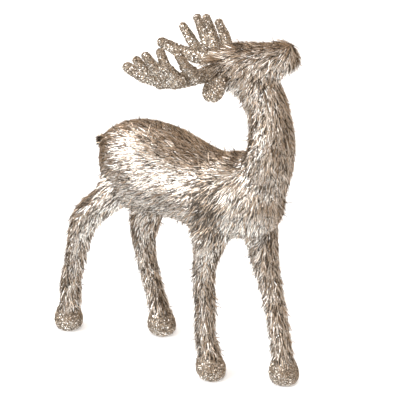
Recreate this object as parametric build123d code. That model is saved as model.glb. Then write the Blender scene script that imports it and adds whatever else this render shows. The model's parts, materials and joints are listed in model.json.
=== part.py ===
from build123d import *
import os

# A tabletop stag covered in metallic tinsel, standing with its head raised.
# Millimetres. While modelling, X points to the stag's front, Y to its left and Z up,
# with the floor at Z = 0 and the middle of its back above X = 0, Y = 0.

# ---------------------------------------------------------------- driving dimensions
COAT_DEPTH = 7.0          # tinsel coat, measured square to the foam
LEG_COAT_DEPTH = 5.0
WIRE_RADIUS = 1.2
NECK_ROD_RADIUS = 2.0
TAIL_WIRE_RADIUS = 0.8

TORSO_HALF_HEIGHT = 47.0
TORSO_HALF_WIDTH = 43.0
NECK_RADIUS = 25.0
SKULL_HALF_HEIGHT = 25.5
SKULL_HALF_WIDTH = 22.0

HOOF_HEIGHT = 25.0
HOOF_RADIUS = 15.5        # widest, a third of the way up
HOOF_TOP_RADIUS = 12.0    # where the leg stands on it
WIRE_START_HEIGHT = 8.75  # a leg's wire begins this far up inside its hoof

HEAD_TURN = 18.0          # degrees, towards the stag's left
HEAD_PIVOT = Vector(85.0, 0.0, 0.0)

PEG_RADIUS = 3.0
PEG_LENGTH = 10.0
PEG_CLEARANCE = 0.05      # radial, between peg and socket
SOCKET_WALL = 2.0
SOCKET_FLOOR = 2.0
BODY_GAP = 0.5            # between an antler and the head that it plugs into

BEAM_RADIUS = 6.0
TINE_RADIUS = 4.4
JOINT_SWELL = 1.06        # the rounded knuckles are this much thicker than the bars they join
ANTLER_WAY_RADIUS = 8.4   # room in the head for an antler's foot as it pulls out
ANTLER_WAY_LENGTH = 30.0

EAR_WIDTH = 21.0
EAR_THICKNESS = 7.0
EAR_PIN_RADIUS = 1.5
EAR_PIN_LENGTH = 12.0
EAR_PIN_DIRECTION = Vector(0.1, -1.0, 0.0).normalized()

# ---------------------------------------------------------------- routes and profiles
# Torso: place along the body, height of the centre, and the two half sizes as a share
# of the torso's own. It closes at the rump and at the chest.
TORSO_SECTIONS = [
    (-115.0, 191.0, 0.22, 0.18),
    (-111.5, 192.5, 0.50, 0.36),
    (-104.5, 195.5, 0.80, 0.50),
    (-94.5, 199.0, 0.96, 0.68),
    (-78.0, 204.8, 1.06, 0.88),
    (-54.0, 210.5, 1.08, 1.00),
    (-21.0, 209.5, 1.03, 1.00),
    (12.0, 204.8, 0.94, 1.00),
    (45.0, 203.6, 0.95, 1.00),
    (74.0, 210.0, 0.97, 0.90),
    (93.0, 216.0, 0.84, 0.72),
    (105.0, 220.0, 0.58, 0.50),
    (111.0, 222.0, 0.26, 0.24),
]

# Neck: rises from inside the chest into the skull. Place along the body, height, and
# radius as a share of the neck's own.
NECK_SECTIONS = [
    (76.0, 204.0, 0.80),
    (91.0, 227.0, 1.06),
    (98.5, 248.0, 1.02),
    (101.0, 267.0, 0.98),
    (100.0, 287.0, 0.91),
    (94.5, 308.0, 0.88),
    (82.5, 330.0, 0.87),
]

# Head: place along the face, height of the centre, and the two half sizes as a share of
# the skull's. It closes behind the skull and at the nose.
HEAD_SECTIONS = [
    (47.0, 337.0, 0.28, 0.28),
    (50.0, 338.0, 0.62, 0.62),
    (56.5, 340.0, 0.90, 0.90),
    (65.0, 342.5, 1.02, 1.02),
    (76.0, 346.0, 0.97, 0.98),
    (87.0, 350.0, 0.85, 0.84),
    (99.0, 354.8, 0.72, 0.70),
    (110.0, 359.2, 0.64, 0.62),
    (118.0, 363.0, 0.56, 0.55),
    (123.0, 364.7, 0.40, 0.38),
]

# Legs: the sideways place of the hip or shoulder and of the hoof, then the route from the
# hoof's top up into the torso as (along the body, height, half width along, half width across).
LEGS = {
    "hind_right": (-24.0, -25.0, [
        (-156.0, 25.0, 12.5, 12.0), (-151.5, 52.0, 12.0, 11.5), (-146.5, 78.0, 12.0, 11.0),
        (-139.5, 104.0, 13.0, 11.5), (-133.0, 127.0, 15.0, 12.5), (-115.0, 153.0, 16.0, 14.0),
        (-89.0, 177.0, 18.0, 16.0), (-72.0, 200.0, 14.0, 12.0)]),
    "hind_left": (27.0, 29.0, [
        (-66.0, 25.0, 12.0, 11.5), (-72.0, 43.0, 11.0, 11.0), (-79.0, 66.0, 10.7, 10.5),
        (-85.0, 88.0, 11.5, 11.0), (-88.0, 110.0, 14.5, 12.5), (-85.0, 136.0, 19.0, 15.0),
        (-79.5, 168.0, 24.0, 18.0), (-74.0, 200.0, 16.0, 12.5)]),
    "front_right": (-22.0, -20.0, [
        (40.0, 25.0, 12.0, 11.5), (36.0, 46.0, 10.8, 10.8), (35.0, 72.0, 10.5, 10.5),
        (34.5, 98.0, 11.2, 11.0), (34.5, 124.0, 12.2, 12.0), (40.0, 150.0, 17.0, 15.0),
        (41.0, 177.0, 25.0, 17.0), (48.0, 204.0, 15.0, 12.0)]),
    "front_left": (19.0, 19.0, [
        (108.0, 25.0, 12.0, 11.5), (103.5, 50.0, 10.8, 10.8), (98.5, 76.0, 10.8, 10.5),
        (90.5, 105.0, 11.8, 11.0), (83.5, 130.0, 14.5, 12.5), (78.0, 155.0, 18.0, 15.0),
        (72.0, 182.0, 22.0, 17.0), (67.0, 206.0, 14.0, 12.0)]),
}
HOOF_PLACES = {
    "hind_right": (-156.0, -25.0),
    "hind_left": (-64.0, 29.0),
    "front_right": (44.0, -20.0),
    "front_left": (110.0, 19.0),
}

# Hoof: share of its height and share of its radius, from the sole up.
HOOF_PROFILE = [(0.0, 0.62), (0.10, 0.86), (0.34, 1.0), (0.68, 0.93)]

# Rod through the neck, from the torso into the skull.
NECK_ROD_ROUTE = [(70.0, 200.0), (92.0, 232.0), (101.0, 262.0), (98.0, 295.0), (80.0, 334.0)]

# Tail: a short tuft on the rump, pointing back and down, on a wire that starts in the torso.
TAIL_ROUTE = [(-92.0, 225.0), (-102.0, 229.0), (-110.0, 227.5), (-116.5, 221.0)]
TAIL_RADII = [7.0, 9.2, 8.0, 3.5]
TAIL_WIRE_START = (-84.0, 219.0)

# Left antler, in the straight head's own directions (the right one is its mirror image):
# the beam runs back and outwards from its base, and each tine leaves a point of the beam
# sideways and then rises to its tip.
ANTLER_BASE = Vector(50.0, 16.0, 350.0)
BEAM_ROUTE = [(38, 31, 341), (24, 38, 338), (13, 42, 336), (2, 45, 336), (-17, 47, 339), (-34, 46, 346)]
BEAM_TAPER = [0.88, 1.04, 1.1, 1.14, 1.08, 0.92, 0.72]
TINES = [
    [(38, 31, 341), (38, 46, 345), (29.5, 57, 357), (23, 58, 369)],
    [(24, 38, 338), (22.5, 55, 342), (12.5, 65, 357), (7.5, 64.5, 371)],
    [(13, 42, 336), (13.5, 55, 339.5), (3, 67, 355), (-5, 71, 368)],
    [(2, 45, 336), (3, 55, 337), (-9, 61, 349), (-17.5, 63, 360)],
]
TINE_TAPER = [1.2, 1.16, 1.0, 0.76]
BASE_ALIGN = (Align.CENTER, Align.CENTER, Align.MIN)    # a bar starts at its plane

# Left ear: a rounded lobe that hangs outwards and down from the side of the skull.
EAR_ROUTE = [
    (56, 22, 341), (54, 27.5, 337.5), (52, 32, 333),
    (50, 35.5, 327), (49.3, 37.5, 321.5), (49.2, 38.2, 318.5)]
EAR_OUTLINE = [0.42, 0.74, 0.96, 1.0, 0.78, 0.42]


# ---------------------------------------------------------------- building blocks
def place(x, height, side=0.0):
    return Vector(x, side, height)


def travel(points):
    """Direction of a route at each of its points."""
    ahead = points[1:] + points[-1:]
    behind = points[:1] + points[:-1]
    return [(far - near).normalized() for far, near in zip(ahead, behind)]


def tube(points, across, along, reference=Vector(0, 1, 0), level_start=False):
    """Solid through elliptical sections square to a route of points."""
    facing = travel(points)
    if level_start:
        facing[0] = Vector(0, 0, 1)
    sections = []
    for point, direction, half_across, half_along in zip(points, facing, across, along):
        plane = Plane(origin=point, x_dir=reference, z_dir=direction)
        sections.append(plane * Ellipse(half_across, half_along))
    return loft(sections)


def shrunk(sizes, depth, least=1.0):
    return [max(size - depth, least) for size in sizes]


def in_head(shape):
    """Turns a shape made for a straight head to the stag's left."""
    moved = shape.moved(Location(-HEAD_PIVOT))
    return moved.rotate(Axis.Z, HEAD_TURN).moved(Location(HEAD_PIVOT))


# ---------------------------------------------------------------- foam and outer shapes
def torso_shape(depth):
    """Torso, taken in from its outer tinsel surface by a depth."""
    points = [place(x, z) for x, z, _, _ in TORSO_SECTIONS]
    tall = [TORSO_HALF_HEIGHT * share for _, _, share, _ in TORSO_SECTIONS]
    wide = [TORSO_HALF_WIDTH * share for _, _, _, share in TORSO_SECTIONS]
    if depth > 0:
        points = points[1:-1]
        wide = shrunk(wide[1:-1], depth)
        tall = shrunk(tall[1:-1], depth)
    return tube(points, wide, tall)


def neck_shape(depth):
    points = [place(x, z) for x, z, _ in NECK_SECTIONS]
    radii = shrunk([NECK_RADIUS * share for _, _, share in NECK_SECTIONS], depth)
    return tube(points, radii, radii)


def head_shape(depth):
    points = [place(x, z) for x, z, _, _ in HEAD_SECTIONS]
    tall = [SKULL_HALF_HEIGHT * share for _, _, share, _ in HEAD_SECTIONS]
    wide = [SKULL_HALF_WIDTH * share for _, _, _, share in HEAD_SECTIONS]
    if depth > 0:
        points = points[1:-1]
        wide = shrunk(wide[1:-1], depth)
        tall = shrunk(tall[1:-1], depth)
    return in_head(tube(points, wide, tall))


def leg_points(leg):
    """Route of a leg, leaning evenly from the hoof's side place to the hip's."""
    hip_side, hoof_side, route = LEGS[leg]
    top = route[-1][1]
    points = []
    for x, z, _, _ in route:
        share = (z - HOOF_HEIGHT) / (top - HOOF_HEIGHT)
        points.append(place(x, z, hoof_side + (hip_side - hoof_side) * share))
    return points


def leg_shape(leg, depth):
    route = LEGS[leg][2]
    along = shrunk([row[2] for row in route], depth)
    across = shrunk([row[3] for row in route], depth)
    return tube(leg_points(leg), across, along, level_start=True)


def round_wire(points, radius, level_start=False):
    radii = [radius] * len(points)
    return tube(points, radii, radii, level_start=level_start)


def leg_wire(leg):
    """Steel wire from inside the hoof to inside the torso."""
    x, y = HOOF_PLACES[leg]
    points = [Vector(x, y, WIRE_START_HEIGHT)] + leg_points(leg)
    return round_wire(points, WIRE_RADIUS, level_start=True)


def hoof(leg):
    """Rounded hoof with a flat sole, standing on the floor."""
    x, y = HOOF_PLACES[leg]
    top_point = leg_points(leg)[0]
    sections = []
    for share, width in HOOF_PROFILE:
        centre = Vector(x, y, 0) + (top_point - Vector(x, y, HOOF_HEIGHT)) * share
        plane = Plane(origin=centre + Vector(0, 0, HOOF_HEIGHT * share))
        sections.append(plane * Circle(HOOF_RADIUS * width))
    sections.append(Plane(origin=top_point) * Circle(HOOF_TOP_RADIUS))
    return loft(sections)


def tail_shape(depth):
    points = [place(x, z) for x, z in TAIL_ROUTE]
    radii = shrunk(TAIL_RADII, depth)
    return tube(points, radii, radii)


# ---------------------------------------------------------------- antlers and ears
def jointed_bar(points, radii):
    """Pieces of a tapered round bar along a route, with a rounded knuckle at every point but the first."""
    facing = travel(points)
    pieces = []
    for near, far, near_radius, far_radius in zip(points, points[1:], radii, radii[1:]):
        plane = Plane(origin=near, z_dir=(far - near).normalized())
        length = (far - near).length
        pieces.append(plane * Cone(near_radius, far_radius, length, align=BASE_ALIGN))
    for point, direction, radius in list(zip(points, facing, radii))[1:]:
        pieces.append(Plane(origin=point, z_dir=direction) * Sphere(radius * JOINT_SWELL))
    return pieces


def peg_axis():
    """Direction in which a left antler pulls out of the straight head."""
    return (Vector(*BEAM_ROUTE[0]) - ANTLER_BASE).normalized()


def left_antler():
    axis = peg_axis()
    beam_points = [ANTLER_BASE] + [Vector(*point) for point in BEAM_ROUTE]
    pieces = jointed_bar(beam_points, [BEAM_RADIUS * share for share in BEAM_TAPER])
    for route in TINES:
        tine_points = [Vector(*point) for point in route]
        pieces += jointed_bar(tine_points, [TINE_RADIUS * share for share in TINE_TAPER])
    pieces.append(rod(ANTLER_BASE - axis * PEG_LENGTH, axis, PEG_RADIUS, PEG_LENGTH + BEAM_RADIUS))
    return pieces[0].fuse(*pieces[1:])


def left_socket():
    """Plastic cup in the skull that the antler's peg pushes into."""
    axis = peg_axis()
    mouth = ANTLER_BASE - axis * BODY_GAP
    bore = PEG_RADIUS + PEG_CLEARANCE
    cup = rod(mouth, -axis, bore + SOCKET_WALL, PEG_LENGTH + SOCKET_FLOOR)
    return cup - rod(mouth, -axis, bore, PEG_LENGTH)


def left_antler_way():
    """Space in the head for the socket, and for the antler's base as it pulls out."""
    axis = peg_axis()
    mouth = ANTLER_BASE - axis * BODY_GAP
    pocket = rod(mouth, -axis, PEG_RADIUS + PEG_CLEARANCE + SOCKET_WALL, PEG_LENGTH + SOCKET_FLOOR)
    return pocket + rod(mouth, axis, ANTLER_WAY_RADIUS, ANTLER_WAY_LENGTH)


def left_ear():
    points = [Vector(*point) for point in EAR_ROUTE]
    wide = [EAR_WIDTH / 2 * share for share in EAR_OUTLINE]
    thick = [EAR_THICKNESS / 2 * share ** 0.5 for share in EAR_OUTLINE]
    lobe = tube(points, wide, thick, Vector(1, 0, 0))
    pin_start = points[0] - EAR_PIN_DIRECTION * EAR_THICKNESS / 2
    return lobe + rod(pin_start, EAR_PIN_DIRECTION, EAR_PIN_RADIUS, EAR_PIN_LENGTH)


def rod(start, direction, radius, length):
    """Straight round bar."""
    plane = Plane(origin=start, z_dir=direction)
    return plane * Cylinder(radius, length, align=BASE_ALIGN)


def both_sides(left_shape):
    """Left and right versions of a head fitting, on the turned head."""
    return {"left": in_head(left_shape), "right": in_head(mirror(left_shape, about=Plane.XZ))}


# ---------------------------------------------------------------- the whole stag
def build_nodes():
    legs = list(LEGS)
    antlers = both_sides(left_antler())
    sockets = both_sides(left_socket())
    ways = both_sides(left_antler_way())
    ears = both_sides(left_ear())

    torso_outer = torso_shape(0)
    torso_foam = torso_shape(COAT_DEPTH)
    neck_outer = neck_shape(0)
    neck_foam = neck_shape(COAT_DEPTH)
    head_outer = head_shape(0)
    head_foam = head_shape(COAT_DEPTH)
    leg_foams = {leg: leg_shape(leg, LEG_COAT_DEPTH) for leg in legs}

    wires = {leg: leg_wire(leg) for leg in legs}
    neck_rod = round_wire([place(x, z) for x, z in NECK_ROD_ROUTE], NECK_ROD_RADIUS)
    tail_points = [place(x, z) for x, z in [TAIL_WIRE_START] + TAIL_ROUTE[:3]]
    tail_wire = round_wire(tail_points, TAIL_WIRE_RADIUS)
    head_pockets = list(ways.values()) + list(ears.values())

    nodes = {}
    nodes["torso_core"] = torso_foam - list(wires.values()) - neck_rod - tail_wire
    nodes["neck_core"] = neck_foam - torso_foam - head_foam - neck_rod
    nodes["head_core"] = head_foam - neck_rod - head_pockets
    nodes["neck_rod"] = neck_rod
    nodes["tail_wire"] = tail_wire
    nodes["coat_torso"] = torso_outer - torso_foam - neck_foam - list(leg_foams.values()) - tail_wire
    nodes["coat_neck"] = neck_outer - neck_foam - torso_outer - head_outer
    nodes["coat_head"] = head_outer - head_foam - neck_foam - neck_rod - head_pockets
    nodes["coat_tail"] = tail_shape(0) - torso_outer - tail_wire
    for leg in legs:
        leg_hoof = hoof(leg)
        nodes["leg_core_" + leg] = leg_foams[leg] - torso_foam - wires[leg]
        nodes["coat_leg_" + leg] = leg_shape(leg, 0) - leg_foams[leg] - torso_outer
        nodes["leg_wire_" + leg] = wires[leg]
        nodes["hoof_" + leg] = leg_hoof - wires[leg]
    for side in ("left", "right"):
        nodes["antler_" + side] = antlers[side]
        nodes["antler_socket_" + side] = sockets[side]
        nodes["ear_" + side] = ears[side]
    return nodes


def bottom_centre(shapes):
    """Centre of the underside of the box around all the shapes."""
    boxes = [shape.bounding_box() for shape in shapes]
    low = [min(box.min.X for box in boxes), min(box.min.Y for box in boxes), min(box.min.Z for box in boxes)]
    high = [max(box.max.X for box in boxes), max(box.max.Y for box in boxes)]
    return Vector((low[0] + high[0]) / 2, (low[1] + high[1]) / 2, low[2])


def main():
    os.makedirs("parts", exist_ok=True)
    nodes = build_nodes()
    origin = bottom_centre(nodes.values())
    print("origin of the finished part, in the modelling directions:", origin)
    for name, shape in nodes.items():
        export_step(shape.moved(Location(-origin)), os.path.join("parts", name + ".step"))


main()
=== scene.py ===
import json
import math

import bmesh
import bpy
import numpy as np
from mathutils import Matrix, Vector
from mathutils.bvhtree import BVHTree


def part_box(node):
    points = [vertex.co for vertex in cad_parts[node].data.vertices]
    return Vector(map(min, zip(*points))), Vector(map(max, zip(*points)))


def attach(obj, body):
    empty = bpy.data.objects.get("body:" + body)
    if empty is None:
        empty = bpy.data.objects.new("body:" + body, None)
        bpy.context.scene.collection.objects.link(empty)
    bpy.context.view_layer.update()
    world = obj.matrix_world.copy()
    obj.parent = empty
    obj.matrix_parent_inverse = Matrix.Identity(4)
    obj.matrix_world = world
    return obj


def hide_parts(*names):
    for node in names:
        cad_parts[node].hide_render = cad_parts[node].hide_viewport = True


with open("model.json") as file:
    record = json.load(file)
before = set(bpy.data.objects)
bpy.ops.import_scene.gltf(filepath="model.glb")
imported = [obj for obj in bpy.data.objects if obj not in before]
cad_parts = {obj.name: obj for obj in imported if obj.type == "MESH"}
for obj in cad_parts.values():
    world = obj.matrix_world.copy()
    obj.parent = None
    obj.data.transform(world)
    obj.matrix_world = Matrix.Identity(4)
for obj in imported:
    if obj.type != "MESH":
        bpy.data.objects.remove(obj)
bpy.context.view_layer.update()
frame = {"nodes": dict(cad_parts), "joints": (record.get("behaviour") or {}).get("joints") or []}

# A tabletop stag covered in metallic tinsel. Metres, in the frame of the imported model:
# X to the stag's front, Y to its left, Z up from the floor.

MM = 0.001
LEGS = ("front_left", "front_right", "hind_left", "hind_right")
SIDES = ("left", "right")
HEAD_TURN = math.radians(18.0)       # the head looks this far to the stag's left
HEAD_PITCH = math.radians(18.0)      # and this far up

# The sheet of foil strips over each part of the foam: how deep its backing lies under the
# outer surface, and the strips' number, length, width, lift from the backing and spread, in
# millimetres and degrees.
COATS = {
    "torso": dict(depth=3.0, count=33000, length=10.5, width=0.72, lift=13.0, spread=12.0),
    "neck": dict(depth=2.8, count=8800, length=11.5, width=0.80, lift=15.0, spread=16.0),
    "head": dict(depth=2.6, count=6600, length=11.0, width=0.84, lift=17.0, spread=19.0),
    "tail": dict(depth=2.6, count=900, length=10.0, width=0.7, lift=30.0, spread=28.0),
    "leg_front_left": dict(depth=1.7, count=4000, length=11.5, width=0.92, lift=20.0, spread=15.0),
    "leg_front_right": dict(depth=1.7, count=4000, length=11.5, width=0.92, lift=20.0, spread=15.0),
    "leg_hind_left": dict(depth=1.7, count=4000, length=11.5, width=0.92, lift=20.0, spread=15.0),
    "leg_hind_right": dict(depth=1.7, count=4400, length=11.5, width=0.92, lift=20.0, spread=15.0),
}
PELT_VOXEL = 2.2 * MM
PELT_SMOOTHING = 10
WELD_SWELL = 0.6 * MM                # closes the hair gaps between touching nodes
CREASE_FILL = 7.0 * MM               # radius to which the folds between the parts are filled
SOFTEN_FACTOR = 0.5                  # how far one round of smoothing moves a point
WELD_DISTANCE = 0.001 * MM           # vertices nearer than this are one
FLOW_SMOOTHING = 40                  # rounds that blend the combing and depth of the parts
STRIP_TAPER = (0.85, 1.0, 0.5)       # shares of a strip's width at its root, middle and tip
STRIP_RIDGE = 0.10                   # height of a strip's fold, as a share of its width
MAX_STRIPS_IN_PIECE = 13000

# How far the strips of one coat differ, as shares of its length, width, lift and bend.
LENGTH_RANGE = (0.65, 1.25)
WIDTH_RANGE = (0.75, 1.2)
LIFT_RANGE = (0.25, 1.6)
BEND_RANGE = (0.15, 0.7)
STRIP_ROLL = 12.0                    # degrees by which a strip turns about its own length
PATCH_ROLL = 7.0                     # degrees by which neighbours turn together
PATCH_SIZE = 22.0 * MM

# Combing of the torso: the strips' slant below the horizontal, in radians.
FLANK_SLANT = 0.42
SHOULDER_SLANT = 0.75                # added towards the shoulder
HAUNCH_SLANT = 0.25                  # added at the very back
SPINE_STRAIGHTENING = 0.85           # share of the slant lost along the spine
HIND_THIGH_LEAN = -0.75
FRONT_THIGH_LEAN = -0.35

SOCKET_HALF_LENGTH = 6.0 * MM
COLLAR_RADIUS = 9.5 * MM             # tinsel gathered round the foot of an antler
COLLAR_REACH = 1.5 * MM
TAIL_ROOT_RADIUS = 5.5 * MM

RUFF_RADIUS = 24.0 * MM
RUFF_LENGTH = 0.55                   # share by which the strips there are longer
STRAY_SHARE = 0.030                  # strips that stand up out of the coat
STRAYS = dict(length=12.0, width=0.75, lift=46.0, spread=40.0)

# Shares of silver, champagne and copper foil among the strips, and of the dark copy of the foil that
# paints shade.
PLAIN_SHARES = (0.36, 0.30, 0.12, 0.22)
# Painted reflection: more copper foil on the back stands for the brown room that the back mirrors.
BACK_REFLECTION_SHARES = (0.08, 0.22, 0.52, 0.18)
# Painted shade: more dark foil at the rump.
RUMP_SHADE_SHARES = (0.06, 0.16, 0.36, 0.42)
# Painted shade: mostly dark foil over the right foreleg.
SHOULDER_SHADE_SHARES = (0.03, 0.08, 0.23, 0.66)

# The mixes fade into one another. The shoulder shade is painted shade, a patch of dark foil over the
# right foreleg: its place from the leg's top, its half sizes, and the shares of those between which
# it fades out.
SHOULDER_SHADE_OFFSET = (8.0 * MM, 0.0, 20.0 * MM)
SHOULDER_SHADE_SIZE = (22.0 * MM, 45.0 * MM, 44.0 * MM)
SHOULDER_SHADE_EDGE = (0.60, 1.0)
BACK_REFLECTION_EDGE = (0.58, 0.84)             # upward part of the normal between which the back's painted reflection sets in
RUMP_SHADE_EDGE = (0.30, 0.70)             # and backward part for the rump's painted shade
STRAY_SLOTS = (2, 3)                 # strays are copper or the dark foil that paints shade
STRAY_SHARES = (0.4, 0.6)

FLAKE_WIDTH = 1.2 * MM
FLAKE_THICKNESS = 0.16 * MM
FLAKE_SIDES = 6
FLAKE_SIZES = (0.65, 1.25)           # shares of the width
FLAKE_TILTS = (6.0, 30.0)            # degrees
FLAKE_HEIGHTS = (0.05, 0.45)         # mm above the glue
FLAKE_SHARES = (0.30, 0.26, 0.22, 0.22)
GLUE_LUMP_SIZE = 5.0 * MM
GLUE_LUMP_HEIGHT = 0.25 * MM
GLUE_SMOOTHING = 4

WAVE_COUNT = 6
WAVE_LEVEL = 2.6                     # brings a sum of that many waves to about -1 to 1
NO_LENGTH = 1e-12                    # keeps a vector of no length from dividing by zero
TIE_BREAK = 1e-9                     # gives a sign to a product that is exactly zero

FLOOR_HALF_SIZE = 30.0
FLOOR_DROP = 0.2 * MM                # keeps the floor clear of the soles
FLOOR_GLOW = 0.30


# ------------------------------------------------------------------ small helpers
def new_object(name, mesh):
    made = bpy.data.objects.new(name, mesh)
    bpy.context.scene.collection.objects.link(made)
    return made


def unit(vectors):
    return vectors / np.maximum(np.linalg.norm(vectors, axis=-1, keepdims=True), NO_LENGTH)


def smooth_step(value, start, end):
    share = np.clip((value - start) / (end - start), 0.0, 1.0)
    return share * share * (3.0 - 2.0 * share)


def slow_waves(points, scale, seed):
    """Smooth pseudo-random field from about -1 to 1 over points, with features of a given size."""
    rng = np.random.default_rng(seed)
    total = np.zeros(len(points))
    for _ in range(WAVE_COUNT):
        direction = unit(rng.normal(size=3)) * (2.0 * math.pi / scale) * rng.uniform(0.6, 1.5)
        total += np.sin(points @ direction + rng.uniform(0.0, 2.0 * math.pi))
    return total / WAVE_LEVEL


def mesh_from_arrays(name, corners, faces, face_slots=None, smooth=False):
    """Mesh from vertex rows and equally sided face rows."""
    mesh = bpy.data.meshes.new(name)
    sides = faces.shape[1]
    mesh.vertices.add(len(corners))
    mesh.vertices.foreach_set("co", corners.astype(np.float32).ravel())
    mesh.loops.add(faces.size)
    mesh.loops.foreach_set("vertex_index", faces.astype(np.int32).ravel())
    mesh.polygons.add(len(faces))
    mesh.polygons.foreach_set("loop_start", np.arange(0, faces.size, sides, dtype=np.int32))
    if face_slots is not None:
        mesh.polygons.foreach_set("material_index", face_slots.astype(np.int32))
    mesh.update(calc_edges=True)
    mesh.polygons.foreach_set("use_smooth", np.full(len(faces), smooth))
    mesh.validate()
    return mesh


def read_mesh(mesh):
    """Vertices, vertex normals and triangles of a mesh as arrays."""
    mesh.calc_loop_triangles()
    corners = np.empty(len(mesh.vertices) * 3, np.float32)
    mesh.vertices.foreach_get("co", corners)
    normals = np.empty(len(mesh.vertices) * 3, np.float32)
    mesh.vertices.foreach_get("normal", normals)
    triangles = np.empty(len(mesh.loop_triangles) * 3, np.int32)
    mesh.loop_triangles.foreach_get("vertices", triangles)
    return (corners.reshape(-1, 3).astype(float), normals.reshape(-1, 3).astype(float),
            triangles.reshape(-1, 3))


def is_foam(node):
    return node.endswith("_core") or node.startswith("leg_core")


def welded_mesh(name, nodes):
    """One mesh with the faces of several CAD nodes, with the shared edges welded."""
    joined = bmesh.new()
    for node in nodes:
        joined.from_mesh(frame["nodes"][node].data)
    bmesh.ops.remove_doubles(joined, verts=joined.verts, dist=WELD_DISTANCE)
    mesh = bpy.data.meshes.new(name)
    joined.to_mesh(mesh)
    joined.free()
    return mesh


def add_ball(mesh, middle, radius):
    work = bmesh.new()
    work.from_mesh(mesh)
    place = Matrix.Translation(middle)
    bmesh.ops.create_icosphere(work, subdivisions=3, radius=radius, matrix=place)
    work.to_mesh(mesh)
    work.free()


def add_swell(piece, distance, voxel):
    """Moves an object's surface outwards, or inwards for less than zero, and makes it even."""
    swell = piece.modifiers.new("swell", "DISPLACE")
    swell.mid_level = 0.0
    swell.strength = distance
    even = piece.modifiers.new("even", "REMESH")
    even.mode = "VOXEL"
    even.voxel_size = voxel


def finished(piece):
    """The biggest closed surface that an object's modifiers make; the object itself goes."""
    graph = bpy.context.evaluated_depsgraph_get()
    mesh = bpy.data.meshes.new_from_object(piece.evaluated_get(graph))
    bpy.data.objects.remove(piece)
    return largest_part(mesh)


def soft_surface(name, nodes, voxel, smoothing, fill=0.0, balls=()):
    """Even, closed, softened surface round CAD nodes that touch one another, and some balls.

    The creases between them are filled to a given radius.
    """
    made = new_object(name, welded_mesh(name, nodes))
    for middle, radius in balls:
        add_ball(made.data, middle, radius)
    add_swell(made, WELD_SWELL, voxel)
    made = new_object(name, finished(made))
    if fill:
        add_swell(made, fill, voxel)
    add_swell(made, -WELD_SWELL - fill, voxel)
    soften = made.modifiers.new("soften", "SMOOTH")
    soften.factor = SOFTEN_FACTOR
    soften.iterations = smoothing
    return finished(made)


def largest_part(mesh):
    """Keeps only the biggest connected surface of a mesh."""
    work = bmesh.new()
    work.from_mesh(mesh)
    work.verts.ensure_lookup_table()
    unseen = set(work.verts)
    best = []
    while unseen:
        start = next(iter(unseen))
        group = [start]
        unseen.discard(start)
        for vertex in group:
            for edge in vertex.link_edges:
                other = edge.other_vert(vertex)
                if other in unseen:
                    unseen.discard(other)
                    group.append(other)
        if len(group) > len(best):
            best = group
    keep = set(best)
    bmesh.ops.delete(work, geom=[v for v in work.verts if v not in keep], context="VERTS")
    work.to_mesh(mesh)
    work.free()
    return mesh


# ------------------------------------------------------------------ materials
def new_material(name, colour, metallic, roughness):
    """Material with plain values on its own shader, and the node tree to add detail to."""
    made = bpy.data.materials.new(name)
    made.use_nodes = True
    shader = made.node_tree.nodes["Principled BSDF"]
    shader.inputs["Base Color"].default_value = (*colour, 1.0)
    shader.inputs["Metallic"].default_value = metallic
    shader.inputs["Roughness"].default_value = roughness
    return made


def add_noise(material, scale, detail=4.0):
    nodes = material.node_tree.nodes
    links = material.node_tree.links
    place = nodes.new("ShaderNodeTexCoord")
    noise = nodes.new("ShaderNodeTexNoise")
    noise.inputs["Scale"].default_value = scale
    noise.inputs["Detail"].default_value = detail
    links.new(place.outputs["Object"], noise.inputs["Vector"])
    return noise


def add_bump(material, height, strength, distance):
    nodes = material.node_tree.nodes
    links = material.node_tree.links
    bump = nodes.new("ShaderNodeBump")
    bump.inputs["Strength"].default_value = strength
    bump.inputs["Distance"].default_value = distance
    links.new(height, bump.inputs["Height"])
    links.new(bump.outputs["Normal"], nodes["Principled BSDF"].inputs["Normal"])


def add_ramp(material, source, stops, target="Base Color"):
    """Colours one shader input by a pattern, through a ramp of (place, colour) stops."""
    nodes = material.node_tree.nodes
    links = material.node_tree.links
    ramp = nodes.new("ShaderNodeValToRGB")
    while len(ramp.color_ramp.elements) < len(stops):
        ramp.color_ramp.elements.new(0.5)
    for element, (place, colour) in zip(ramp.color_ramp.elements, stops):
        element.position = place
        element.color = (*colour, 1.0)
    links.new(source, ramp.inputs["Fac"])
    links.new(ramp.outputs["Color"], nodes["Principled BSDF"].inputs[target])


def foil_material(name, colour, roughness):
    """Metallised film, a little crinkled from being cut."""
    made = new_material(name, colour, 1.0, roughness)
    crinkle = add_noise(made, scale=420.0, detail=2.0)
    add_bump(made, crinkle.outputs["Fac"], strength=0.35, distance=0.25 * MM)
    return made


def foil_materials():
    """Three finishes that cut foil strips show, and a dark copy of the foil that paints shade, from
    bright to dark.
    """
    return [
        foil_material("foil_silver", (0.95, 0.95, 0.94), roughness=0.15),
        foil_material("foil_champagne", (0.84, 0.80, 0.755), roughness=0.19),
        foil_material("foil_copper", (0.67, 0.575, 0.475), roughness=0.24),
        # A dark copy of the foil that paints shade among the strips.
        foil_material("foil_painted_shade", (0.16, 0.14, 0.12), roughness=0.26),
    ]


def glitter_materials():
    return [
        foil_material("glitter_silver", (0.96, 0.96, 0.95), roughness=0.14),
        foil_material("glitter_champagne", (0.88, 0.84, 0.78), roughness=0.18),
        foil_material("glitter_gold", (0.62, 0.53, 0.42), roughness=0.24),
        foil_material("glitter_bronze", (0.20, 0.165, 0.13), roughness=0.30),
    ]


def backing_material():
    made = new_material("foil_backing", (0.30, 0.24, 0.19), metallic=1.0, roughness=0.5)
    noise = add_noise(made, scale=900.0)
    add_ramp(made, noise.outputs["Fac"],
             [(0.35, (0.14, 0.11, 0.085)), (0.55, (0.34, 0.28, 0.23)), (0.75, (0.64, 0.57, 0.50))])
    add_bump(made, noise.outputs["Fac"], strength=0.6, distance=0.6 * MM)
    return made


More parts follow.
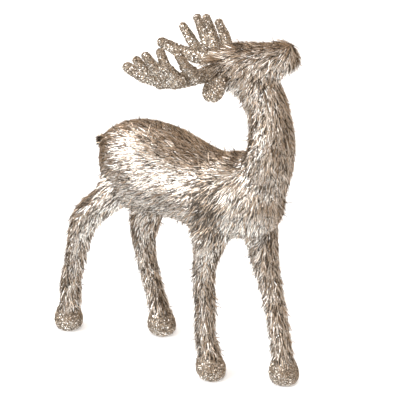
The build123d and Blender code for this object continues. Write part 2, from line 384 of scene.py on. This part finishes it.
def glue_material():
    made = new_material("glitter_ground", (0.45, 0.34, 0.22), metallic=0.8, roughness=0.45)
    noise = add_noise(made, scale=1400.0)
    add_ramp(made, noise.outputs["Fac"],
             [(0.35, (0.11, 0.085, 0.06)), (0.52, (0.38, 0.32, 0.25)), (0.70, (0.82, 0.78, 0.72))])
    add_bump(made, noise.outputs["Fac"], strength=0.8, distance=0.5 * MM)
    return made


def foam_material():
    made = new_material("bead_foam", (0.86, 0.85, 0.82), metallic=0.0, roughness=0.85)
    nodes = made.node_tree.nodes
    place = nodes.new("ShaderNodeTexCoord")
    beads = nodes.new("ShaderNodeTexVoronoi")
    beads.inputs["Scale"].default_value = 320.0
    made.node_tree.links.new(place.outputs["Object"], beads.inputs["Vector"])
    add_ramp(made, beads.outputs["Distance"],
             [(0.0, (0.90, 0.89, 0.87)), (0.6, (0.84, 0.83, 0.80)), (0.9, (0.70, 0.69, 0.66))])
    add_bump(made, beads.outputs["Distance"], strength=0.5, distance=0.8 * MM)
    return made


def wire_material():
    made = new_material("drawn_steel_wire", (0.56, 0.56, 0.57), metallic=1.0, roughness=0.32)
    noise = add_noise(made, scale=700.0)
    add_ramp(made, noise.outputs["Fac"], [(0.3, (0.40, 0.40, 0.41)), (0.7, (0.66, 0.66, 0.67))])
    return made


def moulded_material():
    made = new_material("moulded_gold_plastic", (0.52, 0.40, 0.27), metallic=0.0, roughness=0.42)
    noise = add_noise(made, scale=500.0)
    add_ramp(made, noise.outputs["Fac"], [(0.35, (0.46, 0.35, 0.23)), (0.7, (0.58, 0.45, 0.31))])
    add_bump(made, noise.outputs["Fac"], strength=0.15, distance=0.2 * MM)
    return made


# ------------------------------------------------------------------ the foil coats
def coat_node(part):
    return "coat_" + part


def antler_foot(side):
    """Place where an antler enters the head, and the direction in which it pulls out."""
    low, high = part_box("antler_socket_" + side)
    joint = next(j for j in frame["joints"] if j["child"] == "antler_" + side)
    axis = Vector(joint["axis"]).normalized()
    return (low + high) / 2 + axis * SOCKET_HALF_LENGTH, axis


def pelt_surface():
    """The figure's outer tinsel surface as one soft mesh, with the part that each vertex is in."""
    low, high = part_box("coat_tail")
    balls = [((low + high) / 2, TAIL_ROOT_RADIUS)]
    for side in SIDES:
        foot, axis = antler_foot(side)
        balls.append((foot + axis * COLLAR_REACH, COLLAR_RADIUS))
    coats = [coat_node(part) for part in COATS]
    cores = [node for node in frame["nodes"] if is_foam(node)]
    mesh = soft_surface("pelt", coats + cores, PELT_VOXEL, PELT_SMOOTHING, CREASE_FILL, balls)
    corners, normals, triangles = read_mesh(mesh)
    bpy.data.meshes.remove(mesh)
    nearest = np.full(len(corners), np.inf)
    owner = np.zeros(len(corners), int)
    for index, part in enumerate(COATS):
        solid = frame["nodes"][coat_node(part)].data
        places = [vertex.co for vertex in solid.vertices]
        tree = BVHTree.FromPolygons(places, [face.vertices for face in solid.polygons])
        distance = np.array([tree.find_nearest(Vector(corner))[3] for corner in corners])
        closer = distance < nearest
        nearest[closer] = distance[closer]
        owner[closer] = index
    return corners, normals, triangles, owner


def neighbours_mean(values, edges, count):
    """Average of each vertex with its neighbours along the mesh's edges."""
    total = values.copy()
    for axis in range(values.shape[1]):
        total[:, axis] += np.bincount(edges[:, 0], values[edges[:, 1], axis], count)
        total[:, axis] += np.bincount(edges[:, 1], values[edges[:, 0], axis], count)
    tally = 1 + np.bincount(edges.ravel(), minlength=count)
    return total / tally[:, None]


def triangle_edges(triangles):
    pairs = np.vstack([triangles[:, [0, 1]], triangles[:, [1, 2]], triangles[:, [2, 0]]])
    return np.unique(np.sort(pairs, axis=1), axis=0)


def torso_flow(points, normals):
    """Strips run back along the spine, slant down the flanks and hang at chest and rump."""
    low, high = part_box("coat_torso")
    along = (points[:, 0] - low.x) / (high.x - low.x)
    upward = normals[:, 2]
    slant = FLANK_SLANT + SHOULDER_SLANT * smooth_step(along, 0.50, 0.85)
    slant += HAUNCH_SLANT * smooth_step(-along, -0.12, 0.0)
    slant *= 1.0 - SPINE_STRAIGHTENING * smooth_step(upward, 0.25, 0.85)
    back = np.stack([-np.cos(slant), 0 * slant, -np.sin(slant)], 1)
    ends = smooth_step(np.abs(normals[:, 0]), 0.45, 0.85)[:, None]
    return back * (1 - ends) + np.array([0.0, 0.0, -1.0]) * ends


def neck_flow(points, normals):
    return np.tile([-0.12, 0.0, -1.0], (len(points), 1))


def head_flow(points, normals):
    """Strips run from the nose over the skull, and slant down over the cheeks."""
    back = -np.array([math.cos(HEAD_TURN) * math.cos(HEAD_PITCH),
                      math.sin(HEAD_TURN) * math.cos(HEAD_PITCH), math.sin(HEAD_PITCH)])
    cheek = smooth_step(-normals[:, 2], -0.75, 0.1)[:, None]
    nose = smooth_step(normals @ -back, 0.55, 0.9)[:, None]
    flow = back * (1 - 0.45 * cheek) + np.array([0.0, 0.0, -0.95]) * cheek
    return flow * (1 - nose) + np.array([0.1, 0.05, -1.0]) * nose


def leg_flow(part):
    hind = "hind" in part

    def flow(points, normals):
        low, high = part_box(coat_node(part))
        rise = (points[:, 2] - low.z) / (high.z - low.z)
        thigh = smooth_step(rise, 0.45, 0.85)
        lean = (HIND_THIGH_LEAN if hind else FRONT_THIGH_LEAN) * thigh
        return np.stack([lean, 0 * lean, -np.ones(len(points))], 1)

    return flow


def tail_flow(points, normals):
    return np.tile([-0.8, 0.0, -0.6], (len(points), 1))


FLOWS = {"torso": torso_flow, "neck": neck_flow, "head": head_flow, "tail": tail_flow}


def combed(corners, normals, edges, owner):
    """Direction in which the strips lie at each vertex, blended smoothly between the parts."""
    flow = np.zeros_like(corners)
    for index, part in enumerate(COATS):
        mine = owner == index
        rule = FLOWS.get(part) or leg_flow(part)
        flow[mine] = unit(rule(corners[mine], normals[mine]))
    for _ in range(FLOW_SMOOTHING):
        flow = neighbours_mean(flow, edges, len(corners))
    flow -= normals * np.sum(flow * normals, axis=1, keepdims=True)
    return unit(flow)


def scattered(corners, normals, extra, triangles, count, rng):
    """Evenly spread random points on some triangles, with their normals and an extra vector."""
    a, b, c = (corners[triangles[:, i]] for i in range(3))
    area = np.linalg.norm(np.cross(b - a, c - a), axis=1)
    chosen = rng.choice(len(triangles), count, p=area / area.sum())
    u, v = rng.random((2, count))
    flip = u + v > 1
    u[flip], v[flip] = 1 - u[flip], 1 - v[flip]
    weights = np.stack([1 - u - v, u, v], 1)[:, :, None]
    picked = triangles[chosen]
    return [(values[picked] * weights).sum(1) for values in (corners, normals, extra)]


def strip_arrays(roots, along, normals, length, width, lift, roll, bend):
    """Corner rows and triangle rows of folded foil strips, each a thin closed wedge with a ridge.

    The last value is the number of triangles in one strip.
    """
    count = len(roots)
    ring_count = len(STRIP_TAPER)
    across = unit(np.cross(normals, along))
    rise = np.tan(lift)
    rings = []
    for ring, taper in enumerate(STRIP_TAPER):
        share = ring / (ring_count - 1)
        forward = along + normals * (rise - 2 * bend * share)[:, None]
        heading = unit(forward)
        up = unit(np.cross(heading, across))
        up *= np.sign(np.sum(up * normals, axis=1, keepdims=True))
        side = across * np.cos(roll)[:, None] + up * np.sin(roll)[:, None]
        ridge = unit(np.cross(side, heading))
        ridge *= np.sign(np.sum(ridge * up, axis=1, keepdims=True) + TIE_BREAK)
        reached = unit(along + normals * (rise - bend * share)[:, None])
        middle = roots + reached * (length * share)[:, None]
        half = (width * taper / 2)[:, None]
        rings.append(middle - side * half)
        rings.append(middle + side * half)
        rings.append(middle + ridge * half * 2 * STRIP_RIDGE)
    corners = np.stack(rings, 1).reshape(count * ring_count * 3, 3)
    triangles = []
    for base in range(0, (ring_count - 1) * 3, 3):
        for first, second in ((0, 1), (1, 2), (2, 0)):
            near = base + first
            beside = base + second
            triangles += [(near, beside, beside + 3), (near, beside + 3, near + 3)]
    last = (ring_count - 1) * 3
    triangles += [(0, 2, 1), (last, last + 1, last + 2)]
    triangles = np.array(triangles)
    offsets = np.arange(count)[:, None, None] * (ring_count * 3)
    return corners, (triangles[None] + offsets).reshape(-1, 3), len(triangles)


def strip_piece(name, roots, along, normals, look, slots, rng, materials, reach=1.0):
    """Objects made of many foil strips, split so that none is too heavy."""
    count = len(roots)
    patches = slow_waves(roots, PATCH_SIZE, seed=5)
    length = look["length"] * MM * rng.uniform(*LENGTH_RANGE, count) * reach
    width = look["width"] * MM * rng.uniform(*WIDTH_RANGE, count)
    lift = np.radians(look["lift"] * rng.uniform(*LIFT_RANGE, count))
    roll = np.radians(PATCH_ROLL * patches + rng.normal(0.0, STRIP_ROLL, count))
    bend = np.tan(lift) * rng.uniform(*BEND_RANGE, count)
    turn = np.radians(rng.normal(0.0, look["spread"], count))
    across = unit(np.cross(normals, along))
    along = unit(along * np.cos(turn)[:, None] + across * np.sin(turn)[:, None])
    made = []
    for start in range(0, count, MAX_STRIPS_IN_PIECE):
        some = slice(start, start + MAX_STRIPS_IN_PIECE)
        corners, faces, each = strip_arrays(roots[some], along[some], normals[some], length[some],
                                            width[some], lift[some], roll[some], bend[some])
        label = name if count <= MAX_STRIPS_IN_PIECE else f"{name}_{len(made) + 1}"
        mesh = mesh_from_arrays(label, corners, faces, np.repeat(slots[some], each))
        for material in materials:
            mesh.materials.append(material)
        piece = new_object(label, mesh)
        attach(piece, "figure")
        made.append(piece)
    return made


def ruff(points):
    """How much longer the strips are by the ears and the antlers' feet, which they half cover."""
    near = np.full(len(points), np.inf)
    for side in SIDES:
        low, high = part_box("ear_" + side)
        ear_top = np.array([(low.x + high.x) / 2, (low.y + high.y) / 2, high.z])
        foot = np.array(antler_foot(side)[0])
        for place in (ear_top, foot):
            near = np.minimum(near, np.linalg.norm(points - place, axis=1))
    return 1.0 + RUFF_LENGTH * (1.0 - smooth_step(near, RUFF_RADIUS * 0.4, RUFF_RADIUS))


def finish_and_painted_light_slots(points, normals, rng):
    """Which of the four foils each strip is. More copper on the back is a painted reflection of the
    brown room; more dark foil at the rump and over the right foreleg is painted shade.
    """
    # Painted reflection: how much of the back's copper mix a strip gets, by how far its normal faces
    # up.
    back = smooth_step(normals[:, 2], *BACK_REFLECTION_EDGE)[:, None]
    # Painted shade: a patch of dark foil over the right foreleg.
    low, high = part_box("coat_leg_front_right")
    shade_middle = np.array([(low.x + high.x) / 2, low.y, high.z]) + np.array(SHOULDER_SHADE_OFFSET)
    away = np.linalg.norm((points - shade_middle) / np.array(SHOULDER_SHADE_SIZE), axis=1)
    painted_shade = (1.0 - smooth_step(away, *SHOULDER_SHADE_EDGE))[:, None]
    # Painted shade at the rump, by how far the normal faces back.
    rump_shade = smooth_step(-normals[:, 0], *RUMP_SHADE_EDGE)[:, None]
    share = np.array(PLAIN_SHARES) * (1 - rump_shade) + np.array(RUMP_SHADE_SHARES) * rump_shade
    share = share * (1 - back) + np.array(BACK_REFLECTION_SHARES) * back
    share = share * (1 - painted_shade) + np.array(SHOULDER_SHADE_SHARES) * painted_shade
    return (rng.random((len(points), 1)) > np.cumsum(share, axis=1)[:, :3]).sum(axis=1)


def make_coats():
    corners, normals, triangles, owner = pelt_surface()
    edges = triangle_edges(triangles)
    flow = combed(corners, normals, edges, owner)
    depth = (np.array([look["depth"] for look in COATS.values()])[owner] * MM)[:, None]
    for _ in range(FLOW_SMOOTHING):
        depth = neighbours_mean(depth, edges, len(corners))
    backing = corners - normals * depth
    backing_look = backing_material()
    foil = foil_materials()
    for index, part in enumerate(COATS):
        look = COATS[part]
        rng = np.random.default_rng(100 + index)
        mine = (owner[triangles] == index).sum(1) >= 2
        used, renumbered = np.unique(triangles[mine], return_inverse=True)
        faces = renumbered.reshape(-1, 3)
        mesh = mesh_from_arrays("backing_" + part, backing[used], faces, smooth=True)
        mesh.materials.append(backing_look)
        under = new_object("backing_" + part, mesh)
        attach(under, "figure")
        roots, up, along = scattered(backing, normals, flow, triangles[mine], look["count"], rng)
        slots = finish_and_painted_light_slots(roots, unit(up), rng)
        pieces = strip_piece("tinsel_" + part, roots, unit(along), unit(up), look, slots, rng, foil,
                             ruff(roots))
        some = slice(0, int(len(roots) * STRAY_SHARE))
        stray_slots = rng.choice(STRAY_SLOTS, len(roots[some]), p=STRAY_SHARES)
        strays = strip_piece("strays_" + part, roots[some], unit(along[some]), unit(up[some]), STRAYS,
                             stray_slots, rng, foil)
        for piece in pieces + strays:
            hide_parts(coat_node(part))


# ------------------------------------------------------------------ the glittered pieces
def flake_arrays(points, normals, width, tilt, rng):
    """Thin six-sided flakes lying on a surface, each tilted a little its own way."""
    count = len(points)
    lean = unit(normals + rng.normal(size=(count, 3)) * np.tan(tilt))
    helper = unit(rng.normal(size=(count, 3)))
    side = unit(np.cross(lean, helper))
    other = np.cross(lean, side)
    rows = []
    for level in (-0.5, 0.5):
        for corner in range(FLAKE_SIDES):
            angle = 2.0 * math.pi / FLAKE_SIDES * corner
            reach = side * math.cos(angle) + other * math.sin(angle)
            face = lean * (level * FLAKE_THICKNESS)
            rows.append(points + reach * (width / 2)[:, None] + face)
    corners = np.stack(rows, 1).reshape(-1, 3)
    triangles = []
    top = FLAKE_SIDES
    for corner in range(1, FLAKE_SIDES - 1):
        triangles.append((0, corner + 1, corner))
        triangles.append((top, top + corner, top + corner + 1))
    for corner in range(FLAKE_SIDES):
        following = (corner + 1) % FLAKE_SIDES
        triangles.append((corner, following, top + following))
        triangles.append((corner, top + following, top + corner))
    triangles = np.array(triangles)
    offsets = np.arange(count)[:, None, None] * (2 * FLAKE_SIDES)
    return corners, (triangles[None] + offsets).reshape(-1, 3), len(triangles)


def glittered(name, body, looks, flakes, growth=0.0, voxel=0.9, seed=1):
    """A glitter-coated node: its rough glued ground, a little grown in mm, and the flakes on it."""
    glue_look, flake_looks = looks
    mesh = soft_surface(name + "_ground", [name], voxel * MM, GLUE_SMOOTHING)
    corners, normals, triangles = read_mesh(mesh)
    lumps = slow_waves(corners, GLUE_LUMP_SIZE, seed) * GLUE_LUMP_HEIGHT
    corners = corners + normals * (lumps + growth * MM)[:, None]
    corners[:, 2] = np.maximum(corners[:, 2], 0.0)
    bpy.data.meshes.remove(mesh)
    ground_mesh = mesh_from_arrays(name + "_ground", corners, triangles, smooth=True)
    ground_mesh.materials.append(glue_look)
    ground = new_object(name + "_ground", ground_mesh)
    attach(ground, body)
    rng = np.random.default_rng(seed)
    points, up, _ = scattered(corners, normals, normals, triangles, flakes, rng)
    up = unit(up)
    width = FLAKE_WIDTH * rng.uniform(*FLAKE_SIZES, flakes)
    tilt = np.radians(rng.uniform(*FLAKE_TILTS, flakes))[:, None]
    points = points + up * (rng.uniform(*FLAKE_HEIGHTS, flakes) * MM)[:, None]
    rows, faces, each = flake_arrays(points, up, width, tilt, rng)
    rows[:, 2] = np.maximum(rows[:, 2], 0.0)
    slots = rng.choice(len(FLAKE_SHARES), flakes, p=FLAKE_SHARES)
    mesh = mesh_from_arrays(name + "_glitter", rows, faces, np.repeat(slots, each))
    for material in flake_looks:
        mesh.materials.append(material)
    piece = new_object(name + "_glitter", mesh)
    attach(piece, body)
    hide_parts(name)


def make_glittered_pieces():
    looks = (glue_material(), glitter_materials())
    for index, leg in enumerate(LEGS):
        glittered("hoof_" + leg, "figure", looks, flakes=3400, voxel=1.2, seed=20 + index)
    for index, side in enumerate(SIDES):
        antler = "antler_" + side
        glittered("ear_" + side, "figure", looks, flakes=1700, growth=0.3, seed=30 + index)
        glittered(antler, antler, looks, flakes=9800, growth=0.6, seed=40 + index)


def dress_hidden_nodes():
    """Gives the inner pieces that keep their CAD shape their real materials."""
    foam = foam_material()
    wire = wire_material()
    moulded = moulded_material()
    for name, node in frame["nodes"].items():
        if is_foam(name):
            chosen = foam
        elif "wire" in name or "rod" in name:
            chosen = wire
        elif name.startswith("antler_socket"):
            chosen = moulded
        else:
            continue
        for material_slot in node.material_slots:
            material_slot.material = chosen


# ------------------------------------------------------------------ stage, light and camera
def make_floor():
    signs = ((-1, -1, 0), (1, -1, 0), (1, 1, 0), (-1, 1, 0))
    corners = np.array(signs, float) * FLOOR_HALF_SIZE
    mesh = mesh_from_arrays("floor", corners, np.array([(0, 1, 2, 3)]))
    paint = new_material("pale_floor", (0.90, 0.92, 0.94), metallic=0.0, roughness=0.9)
    noise = add_noise(paint, scale=3.0, detail=2.0)
    add_ramp(paint, noise.outputs["Fac"], [(0.3, (0.88, 0.91, 0.94)), (0.7, (0.90, 0.93, 0.96))])
    shader = paint.node_tree.nodes["Principled BSDF"]
    shader.inputs["Emission Color"].default_value = (1.0, 1.0, 1.0, 1.0)
    shader.inputs["Emission Strength"].default_value = FLOOR_GLOW
    mesh.materials.append(paint)
    floor = new_object("floor", mesh)
    floor.location.z = -FLOOR_DROP
    floor.visible_glossy = False


def add_lobe(tree, ray, total, direction, inner, outer, colour, strength):
    """Adds a soft round patch of light to the surroundings, in one direction of the room."""
    nodes = tree.nodes
    dot = nodes.new("ShaderNodeVectorMath")
    dot.operation = "DOT_PRODUCT"
    dot.inputs[1].default_value = Vector(direction).normalized()
    tree.links.new(ray, dot.inputs[0])
    fade = nodes.new("ShaderNodeMapRange")
    fade.interpolation_type = "SMOOTHSTEP"
    fade.inputs["From Min"].default_value = math.cos(math.radians(outer))
    fade.inputs["From Max"].default_value = math.cos(math.radians(inner))
    fade.inputs["To Max"].default_value = strength
    tree.links.new(dot.outputs["Value"], fade.inputs["Value"])
    tint = nodes.new("ShaderNodeVectorMath")
    tint.operation = "SCALE"
    tint.inputs[0].default_value = colour
    tree.links.new(fade.outputs["Result"], tint.inputs["Scale"])
    join = nodes.new("ShaderNodeVectorMath")
    join.operation = "ADD"
    tree.links.new(total, join.inputs[0])
    tree.links.new(tint.outputs["Vector"], join.inputs[1])
    return join.outputs["Vector"]


# Soft patches of the room round the stag: direction, inner and outer half angle in degrees,
# colour, strength. A strength below zero makes the room darker there.
ROOM_PATCHES = [
    ((-0.10, -0.45, -1.0), 30, 80, (0.82, 0.93, 1.0), 0.55),    # pale table under the stag
    ((0.45, -0.40, -0.80), 12, 34, (0.90, 0.95, 1.0), 0.35),    # brighter table at its front right
    ((-0.53, -0.79, -0.31), 8, 26, (1.0, 0.97, 0.92), -0.45),   # dark gap, low at the right rear
    ((-0.96, -0.27, 0.0), 12, 34, (1.0, 0.90, 0.80), -0.26),    # dark wall behind the rump
    ((0.89, 0.38, -0.24), 15, 45, (0.90, 0.95, 1.0), 0.16),     # paler wall at the front left
    ((-0.30, 0.10, 0.95), 10, 30, (0.95, 0.97, 1.0), 0.30),     # paler ceiling overhead
]
# Lights in the room, in the same terms. The clutter doesn't dim them.
ROOM_LIGHTS = [
    ((-0.56, -0.68, 0.47), 13, 28, (1.0, 1.0, 1.0), 3.8),       # soft box, high at the right rear
    ((-0.10, -0.97, 0.22), 7, 18, (1.0, 1.0, 1.0), 1.6),        # reflector on the right side
    ((0.52, -0.62, 0.58), 5, 17, (1.0, 1.0, 1.0), 2.0),         # lamp above the camera
]
ROOM_COLOUR = (0.47, 0.36, 0.27)
CLUTTER_SCALE = 6.0                  # the room's small lights and darks: how fine they are,
CLUTTER_RANGE = (0.36, 0.64)         # the noise values that are darkest and lightest,
CLUTTER_LEVELS = (0.12, 2.1)         # and how dark and light those are


def make_room():
    world = bpy.data.worlds.new("room")
    bpy.context.scene.world = world
    world.use_nodes = True
    tree = world.node_tree
    place = tree.nodes.new("ShaderNodeTexCoord")
    ray = place.outputs["Generated"]
    base = tree.nodes.new("ShaderNodeCombineXYZ")
    for socket, value in zip(base.inputs, ROOM_COLOUR):
        socket.default_value = value
    total = base.outputs["Vector"]
    for patch in ROOM_PATCHES:
        total = add_lobe(tree, ray, total, *patch)
    clutter = tree.nodes.new("ShaderNodeTexNoise")
    clutter.inputs["Scale"].default_value = CLUTTER_SCALE
    clutter.inputs["Detail"].default_value = 2.0
    tree.links.new(ray, clutter.inputs["Vector"])
    swing = tree.nodes.new("ShaderNodeMapRange")
    ends = ("From Min", "From Max", "To Min", "To Max")
    for socket, value in zip(ends, CLUTTER_RANGE + CLUTTER_LEVELS):
        swing.inputs[socket].default_value = value
    tree.links.new(clutter.outputs["Fac"], swing.inputs["Value"])
    scaled = tree.nodes.new("ShaderNodeVectorMath")
    scaled.operation = "SCALE"
    tree.links.new(total, scaled.inputs[0])
    tree.links.new(swing.outputs["Result"], scaled.inputs["Scale"])
    total = scaled.outputs["Vector"]
    for light in ROOM_LIGHTS:
        total = add_lobe(tree, ray, total, *light)
    background = tree.nodes["Background"]
    tree.links.new(total, background.inputs["Color"])
    background.inputs["Strength"].default_value = 1.0


TARGET = Vector((22.9, 42.3, 180.0)) * MM      # what the camera and the light are aimed at
CAMERA_AZIMUTH = math.radians(38.0)            # from the stag's right side towards its front
CAMERA_ELEVATION = math.radians(22.0)
CAMERA_DISTANCE = 1.68
CAMERA_LENS = 144.0
LIGHT_DIRECTION = (0.0, -0.2, 1.0)
LIGHT_DISTANCE = 2.4
LIGHT_SIZE = 3.2
LIGHT_POWER = 95.0


def aimed(name, data, towards, distance):
    """Puts a camera or a light in one direction from the target, looking at it."""
    holder = bpy.data.objects.new(name, data)
    bpy.context.scene.collection.objects.link(holder)
    holder.location = TARGET + towards * distance
    holder.rotation_mode = "QUATERNION"
    holder.rotation_quaternion = (-towards).to_track_quat("-Z", "Y")
    return holder


def make_light():
    """One big soft light overhead, which the foil doesn't mirror."""
    light = bpy.data.lights.new("overhead_soft_light", "AREA")
    light.size = LIGHT_SIZE
    light.energy = LIGHT_POWER
    towards = Vector(LIGHT_DIRECTION).normalized()
    holder = aimed("overhead_soft_light", light, towards, LIGHT_DISTANCE)
    holder.visible_glossy = False


def make_camera():
    camera = bpy.data.cameras.new("camera")
    camera.lens = CAMERA_LENS
    camera.clip_end = 100.0
    flat = math.cos(CAMERA_ELEVATION)
    towards = Vector((math.sin(CAMERA_AZIMUTH) * flat, -math.cos(CAMERA_AZIMUTH) * flat,
                      math.sin(CAMERA_ELEVATION)))
    bpy.context.scene.camera = aimed("camera", camera, towards, CAMERA_DISTANCE)


bpy.context.scene.view_settings.view_transform = "Standard"
make_camera()
make_floor()
make_room()
make_light()
dress_hidden_nodes()
make_coats()
make_glittered_pieces()
